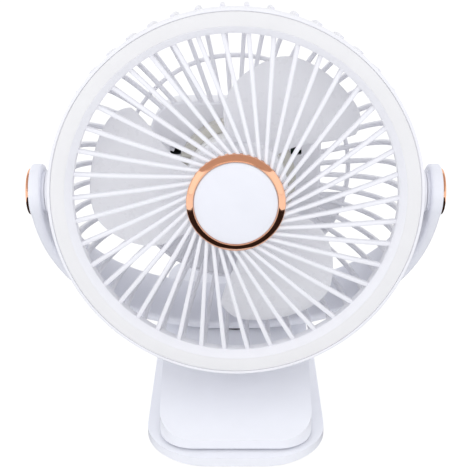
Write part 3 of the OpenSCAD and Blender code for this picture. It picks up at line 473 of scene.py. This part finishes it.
def add_rear_rib(bm, turn):
    half = REAR_RIB_H / 2
    path = [Vector((WALL_R - half, BEZEL_BACK - 1.2))]
    path += [wall_point((1 - cos(pi * k / 18)) / 2, half) for k in range(19)]
    path.append(Vector((BOX_H / 2 - BOX_WALL, half - REAR_BACK)))
    loops = []
    for k, p in enumerate(path):
        a, b = path[max(0, k - 1)], path[min(len(path) - 1, k + 1)]
        along = (b - a).normalized()
        out = Vector((-along.y, along.x))
        loops.append([turn @ Vector((p.x + out.x * y, x, p.y + out.y * y))
                      for x, y in round_bar(REAR_RIB_W / 2, half, 0.9)])
    loft(bm, loops)


def build_rear_cage():
    bm = bmesh.new()
    inner, outer, web_r = BEZEL_R - 3.4, BEZEL_R - 1, LIGHT_IR - 1.2
    web_back = BEZEL_BACK - COLLAR_WEB
    collar = [(inner, COLLAR_BACK), (outer, COLLAR_BACK), (outer, BEZEL_BACK),
              (web_r, BEZEL_BACK), (web_r, web_back), (inner, web_back)]
    lathe(bm, fillet(collar, [0.7, 0.9, 0.1, 0.2, 0.5, 0.8], steps=4), n=240)
    for i in range(REAR_RIBS):
        angle = radians((i + 0.5) * 360 / REAR_RIBS + REAR_RIB_TURN)
        add_rear_rib(bm, Matrix.Rotation(angle, 4, "Z"))
    ring_front = -REAR_BACK + APRON_T + 1
    ring = [(RING_R - RING_W, -RING_BACK), (RING_R, -RING_BACK), (RING_R, ring_front),
            (RING_R - RING_W, ring_front)]
    lathe(bm, fillet(ring, 0.7, steps=4))
    # apron: the part of the ring's field below APRON_TOP
    r = RING_R - 1
    low = asin(APRON_TOP / r)
    arc = [(-pi - low) + (pi + 2 * low) * k / 64 for k in range(65)]
    edge = [(r * cos(a), r * sin(a)) for a in arc]
    apron_back = -REAR_BACK + APRON_SET
    loft(bm, [[(x, y, z) for x, y in edge] for z in (apron_back, apron_back + APRON_T)])
    for side in (1, -1):
        root, end = BEZEL_R - 3, ARM_X - YOKE_T - 1.5
        boss = [(0, root), (BOSS_R, root), (BOSS_R, end), (0, end)]
        lathe(bm, fillet(boss, [0, 0.1, 0.8, 0]), n=96, place=outward(side))
    make_piece("rear_cage", bm, HEAD, "head", WHITE_RIB,
               ["rear_housing"], weld=1e-5)


def build_battery_box():
    bm = bmesh.new()
    levels = [(BOX_ROUND * (1 - sin(pi / 2 * k / 6)),
               BOX_FRONT - BOX_ROUND * (1 - cos(pi / 2 * k / 6))) for k in range(7)]
    levels += [(0, BOX_BACK), (BOX_WALL, BOX_BACK), (BOX_WALL, BOX_FRONT - BOX_WALL)]
    loft(bm, [[(x, y, z) for x, y in rounded_outline(BOX_W, BOX_H, BOX_R, inset)]
              for inset, z in levels])
    box = make_piece("battery_box", bm, HEAD, "head", WHITE_RIB,
                     ["rear_housing"])
    at_x, at_y = BOX_SLOT_AT
    for side in (-1, 1):
        slot = bmesh.new()
        loft(slot, [[(x + side * at_x, y + at_y, z) for x, y in rounded_outline(*BOX_SLOT)]
                    for z in (BOX_FRONT - 3, BOX_FRONT + 1)])
        cut_away(box, slot, HEAD)
    seat = bmesh.new()
    inner = SEAT_R - BOX_WALL
    root, top = BOX_FRONT - 0.5, BOX_FRONT + SEAT_H
    profile = [(inner, root), (SEAT_R + SEAT_FOOT, root), (SEAT_R + SEAT_FOOT, BOX_FRONT),
               (SEAT_R, BOX_FRONT + SEAT_FOOT), (SEAT_R, top), (SHAFT_HOLE_R, top),
               (SHAFT_HOLE_R, top - BOX_WALL), (inner, top - BOX_WALL)]
    lathe(seat, fillet(profile, [0, 0, 0.2, 0.8, 0.8, 0.3, 0, 0.5], steps=4), n=120)
    make_piece("motor_seat", seat, HEAD, "head", WHITE_RIB, ["rear_housing"])


# ------------------------------------------------------------------ blades

def blade_point(s, c, lift):
    """A point of a blade: s runs from root (0) to tip (1), c across it (-1 to 1)."""
    turn = BLADE_SWEEP * (s - 0.08) ** 2 - 0.42 * BLADE_SWEEP
    width = BLADE_HALF * (1.02 + 0.16 * sin(radians(150 * s)))
    r = BLADE_ROOT + (BLADE_R * (1 - 0.1 * abs(c) ** 5) - BLADE_ROOT) * s
    a = radians(width * c - turn + TIP_CUT * (max(0, 2 * s - 1) * (1 - c) / 2) ** 2)
    rise = BLADE_PITCH * (0.62 + 0.38 * s) / 2
    return Vector((r * cos(a), r * sin(a), BLADE_MID + rise * (c + 0.18 * (1 - c * c)) + lift))


def build_blades():
    bm = bmesh.new()
    rows, cols = 30, 40
    for b in range(BLADES):
        turn = Matrix.Rotation(radians(FIRST_BLADE + 360 / BLADES * b), 4, "Z")
        roots = []
        for side in (1, -1):
            grid = []
            for i in range(rows + 1):
                s = BLADE_FROM + (1 - BLADE_FROM) * sin(i / rows * pi / 2)
                row = []
                for j in range(cols + 1):
                    c = sin((j / cols - 0.5) * pi)
                    thin = sqrt(max(0.0, (1 - abs(c) ** 12) * (1 - s ** 16)))
                    lift = side * BLADE_T / 2 * thin
                    row.append(bm.verts.new(turn @ blade_point(s, c, lift)))
                grid.append(row)
            for i in range(rows):
                for j in range(cols):
                    quad = (grid[i][j], grid[i][j + 1], grid[i + 1][j + 1], grid[i + 1][j])
                    bm.faces.new(quad if side > 0 else quad[::-1])
            roots.append(grid[0])
        front, back = roots
        for j in range(cols):
            bm.faces.new((front[j + 1], front[j], back[j], back[j + 1]))
    wall_r, web_back = BLADE_HUB_R - HUB_WALL, HUB_FACE - HUB_WALL
    hub = [(0, HUB_FACE), (BLADE_HUB_R, HUB_FACE), (BLADE_HUB_R, HUB_BACK), (wall_r, HUB_BACK),
           (wall_r, web_back), (0, web_back)]
    lathe(bm, fillet(hub, [0, 2.2, 0.5, 0.4, 0.8, 0], steps=6), n=144)
    make_piece("fan_impeller", bm, HEAD, "rotor", BLADE_LIGHTENED_FOR_SHADE, ["fan_blade"])


# ------------------------------------------------------------------ yoke

def yoke_point(inset, phi):
    """A point of the yoke's curve, from the right arm (0) round to the left one (pi)."""
    x = (ARM_X - inset) * abs(cos(phi)) ** YOKE_POWER * (1 if cos(phi) >= 0 else -1)
    z = -(YOKE_DROP - inset) * max(0.0, sin(phi)) ** YOKE_POWER
    return Vector((x, 0, z))


def build_yoke():
    bm = bmesh.new()
    steps = 120
    loops = []
    for k in range(steps + 1):
        phi = pi * k / steps
        outer, inner = yoke_point(0, phi), yoke_point(YOKE_T, phi)
        u = -outer.z / YOKE_DROP
        front = -ARM_R + (ARM_R + YOKE_BACK - YOKE_BAND / 2) * u
        back = ARM_R + (YOKE_BACK + YOKE_BAND / 2 - ARM_R) * u
        mid, half = (front + back) / 2, (back - front) / 2
        across = outer - inner
        centre = (outer + inner) / 2
        loops.append([centre + across.normalized() * x + Vector((0, mid + y, 0))
                      for x, y in round_bar(across.length / 2, half, YOKE_EDGE, steps=4)])
    loft(bm, loops)
    seat_r, seat = PIVOT_CAP_R + 0.1, ARM_X - CAP_SEAT
    for side in (1, -1):
        disc = [(0, ARM_X - YOKE_T), (ARM_R, ARM_X - YOKE_T), (ARM_R, ARM_X),
                (seat_r, ARM_X), (seat_r, seat), (0, seat)]
        lathe(bm, fillet(disc, [0, 1.6, 1.8, 0.25, 0.05, 0], steps=6), n=120,
              place=outward(side))
    make_piece("yoke_band", bm, YOKE, "yoke", WHITE, ["yoke"])


def build_pivot_cap(name, side):
    bm = bmesh.new()
    base = ARM_X - CAP_SEAT
    top = base + CAP_T
    r = PIVOT_CAP_R
    profile = [(0, base), (r, base), (r, top), (r - 1.6, top), (r - 2.3, top - 0.45),
               (0, top - 0.25)]
    lathe(bm, fillet(profile, [0, 0.05, 0.9, 0.3, 0.4, 0], steps=6), n=144,
          place=outward(side))
    make_piece(name + "_disc", bm, YOKE, "yoke", GOLD, [name], crease=60)


# ------------------------------------------------------------------ carried-over nodes

# each node's material and the width of its bevel in millimetres
NODE_LOOKS = {
    "led_board": (BOARD, 0), "led_chips": (LED, 0), "rear_housing": (WHITE_RIB, 0),
    "rear_cover": (WHITE, 0.3), "battery_cells": (WRAP, 0.3), "control_board": (BOARD, 0),
    "tact_switches": (STEEL, 0.1), "charging_socket": (STEEL, 0),
    "indicator_lenses": (DIFFUSER, 0), "power_button": (GOLD, 0.25),
    "light_button": (WHITE, 0.25), "motor_housing": (MOTOR_STEEL, 0.5),
    "motor_end_bell": (MOTOR_STEEL, 0.4), "motor_stator": (COPPER, 0.2),
    "motor_rotor": (CORE, 0.2), "motor_shaft": (STEEL, 0.2), "motor_bearings": (STEEL, 0.1),
    "motor_screws": (STEEL, 0.1), "blade_nut": (WHITE, 0.4), "housing_screws": (STEEL, 0.1),
    "cover_screws": (STEEL, 0.1), "pivot_bolts": (STEEL, 0.1), "pivot_washers": (WHITE, 0),
    "swivel_bolt": (STEEL, 0.2), "swivel_plug": (WHITE, 0.2), "swivel_washer": (RUBBER, 0),
    "swivel_nut": (STEEL, 0.2), "upper_jaw_shell": (BASE_WHITE_LIGHTENED_FOR_SHADE, 0.7),
    "upper_jaw_cover": (BASE_WHITE_LIGHTENED_FOR_SHADE, 0.9), "jaw_screws": (STEEL, 0.1),
    "lower_jaw": (BASE_WHITE_LIGHTENED_FOR_SHADE, 0.9), "hinge_pin": (STEEL, 0.3), "clamp_spring": (STEEL, 0),
    "upper_jaw_pad": (RUBBER, 0.2), "lower_jaw_pad": (RUBBER, 0.2), "foot_pads": (RUBBER, 0.2)}


def dress_node(name, material, bevel_mm):
    node = frame["nodes"][name]
    node.data.materials.clear()
    node.data.materials.append(material)
    node.data.shade_smooth()
    node.data.set_sharp_from_angle(angle=radians(30))
    if bevel_mm:
        bevel = node.modifiers.new("soft_edges", "BEVEL")
        bevel.width = bevel_mm * MM
        bevel.segments = 3
        bevel.limit_method = "ANGLE"
        bevel.angle_limit = radians(40)
        bevel.harden_normals = True


build_bezel()
build_diffuser()
build_front_grille()
build_hub_trim()
build_hub_cap()
build_rear_cage()
build_battery_box()
build_blades()
build_yoke()
build_pivot_cap("pivot_cap_left", -1)
build_pivot_cap("pivot_cap_right", 1)
for name, (material, bevel_mm) in NODE_LOOKS.items():
    dress_node(name, material, bevel_mm)


# ------------------------------------------------------------------ floor, light and camera

FOCAL_PX = 1000           # focal length in pixels of the 470-pixel frame
FRAME_PX = 470
SENSOR = 36.0
CAMERA_DISTANCE = 0.480
CAMERA_DOWN = radians(23)
AIM = pivot + Vector((-0.0004, 0, -0.0224))
LAMP_AIM = (0, 0, 0.11)
AMBIENT = 0.90
FLOOR_GLOW = 1.2
FLOOR_SHADOW = 0.3        # share of the floor that takes shadows


def seen_directly(tree):
    """1 for camera, glossy and transmission rays, and 0 for the rays that light the rest."""
    path = tree.nodes.new("ShaderNodeLightPath")
    seen = path.outputs["Is Camera Ray"]
    for ray in ("Is Glossy Ray", "Is Transmission Ray"):
        both = tree.nodes.new("ShaderNodeMath")
        both.operation = "MAXIMUM"
        tree.links.new(seen, both.inputs[0])
        tree.links.new(path.outputs[ray], both.inputs[1])
        seen = both.outputs[0]
    return seen


def build_world():
    world = bpy.data.worlds.new("studio")
    bpy.context.scene.world = world
    world.use_nodes = True
    tree = world.node_tree
    base = tree.nodes["Background"]
    base.inputs["Color"].default_value = (0.97, 0.98, 1.0, 1)
    base.inputs["Strength"].default_value = AMBIENT
    white = tree.nodes.new("ShaderNodeBackground")
    white.inputs["Color"].default_value = (1, 1, 1, 1)
    white.inputs["Strength"].default_value = 1.0
    mix = tree.nodes.new("ShaderNodeMixShader")
    tree.links.new(seen_directly(tree), mix.inputs["Fac"])
    tree.links.new(base.outputs["Background"], mix.inputs[1])
    tree.links.new(white.outputs["Background"], mix.inputs[2])
    tree.links.new(mix.outputs["Shader"], tree.nodes["World Output"].inputs["Surface"])


def build_floor():
    bm = bmesh.new()
    bmesh.ops.create_grid(bm, x_segments=1, y_segments=1, size=3.0)
    mesh = bpy.data.meshes.new("studio_floor")
    bm.to_mesh(mesh)
    bm.free()
    floor = bpy.data.objects.new("studio_floor", mesh)
    bpy.context.scene.collection.objects.link(floor)
    mat, tree, bsdf = new_material("studio_floor")
    vary_color(tree, bsdf, mottle(tree, 4), (0.92, 0.92, 0.92), (0.94, 0.94, 0.94))
    bsdf.inputs["Roughness"].default_value = 0.9
    bsdf.inputs["Specular IOR Level"].default_value = 0.1
    glow = tree.nodes.new("ShaderNodeEmission")
    glow.inputs["Color"].default_value = (1, 1, 1, 1)
    glow.inputs["Strength"].default_value = FLOOR_GLOW
    mix = tree.nodes.new("ShaderNodeMixShader")
    share = tree.nodes.new("ShaderNodeMath")
    share.operation = "MULTIPLY"
    share.inputs[1].default_value = 1 - FLOOR_SHADOW
    tree.links.new(seen_directly(tree), share.inputs[0])
    tree.links.new(share.outputs[0], mix.inputs["Fac"])
    tree.links.new(bsdf.outputs["BSDF"], mix.inputs[1])
    tree.links.new(glow.outputs["Emission"], mix.inputs[2])
    tree.links.new(mix.outputs["Shader"], tree.nodes["Material Output"].inputs["Surface"])
    mesh.materials.append(mat)


def area_light(name, place, size, power):
    data = bpy.data.lights.new(name, "AREA")
    data.shape = "RECTANGLE"
    data.size = data.size_y = size
    data.energy = power
    lamp = bpy.data.objects.new(name, data)
    lamp.location = place
    look = Vector(LAMP_AIM) - Vector(place)
    lamp.rotation_euler = look.to_track_quat("-Z", "Y").to_euler()
    bpy.context.scene.collection.objects.link(lamp)


def build_card(name, corners, color):
    """A studio card that only reflections see."""
    mesh = bpy.data.meshes.new(name)
    mesh.from_pydata([Vector(c) for c in corners], [], [(0, 1, 2, 3)])
    card = bpy.data.objects.new(name, mesh)
    bpy.context.scene.collection.objects.link(card)
    mat, tree, bsdf = new_material(name)
    vary_color(tree, bsdf, mottle(tree, 3), shade(color, 0.97), shade(color, 1.03))
    bsdf.inputs["Roughness"].default_value = 1.0
    bsdf.inputs["Specular IOR Level"].default_value = 0.0
    mesh.materials.append(mat)
    card.visible_camera = False
    card.visible_diffuse = False
    card.visible_transmission = False
    card.visible_shadow = False


def build_camera():
    data = bpy.data.cameras.new("camera")
    data.sensor_width = SENSOR
    data.lens = SENSOR * FOCAL_PX / FRAME_PX
    camera = bpy.data.objects.new("camera", data)
    look = Vector((0, cos(CAMERA_DOWN), -sin(CAMERA_DOWN)))
    camera.location = AIM - look * CAMERA_DISTANCE
    camera.rotation_euler = (pi / 2 - CAMERA_DOWN, 0, 0)
    bpy.context.scene.collection.objects.link(camera)
    bpy.context.scene.camera = camera


build_world()
build_floor()
area_light("top_softbox", (-0.1, -0.65, 1.0), 1.1, 1.9)
area_light("left_softbox", (-0.9, -0.6, 0.5), 0.8, 0.6)
area_light("right_softbox", (0.9, -0.6, 0.5), 0.8, 0.35)
area_light("front_softbox", (-0.05, -0.95, 0.4), 0.6, 0.3)
build_card("low_dark_card", [(-0.34, -1.0, 0.002), (0.34, -1.0, 0.002), (0.34, 0.2, 0.002),
                             (-0.34, 0.2, 0.002)], (0.03, 0.02, 0.018))
build_card("high_gray_card", [(-0.55, -2.0, 0.7), (0.55, -2.0, 0.7), (1.0, 0.3, 0.7),
                              (-1.0, 0.3, 0.7)], (0.62, 0.50, 0.44))
build_camera()
bpy.context.scene.view_settings.view_transform = "Standard"
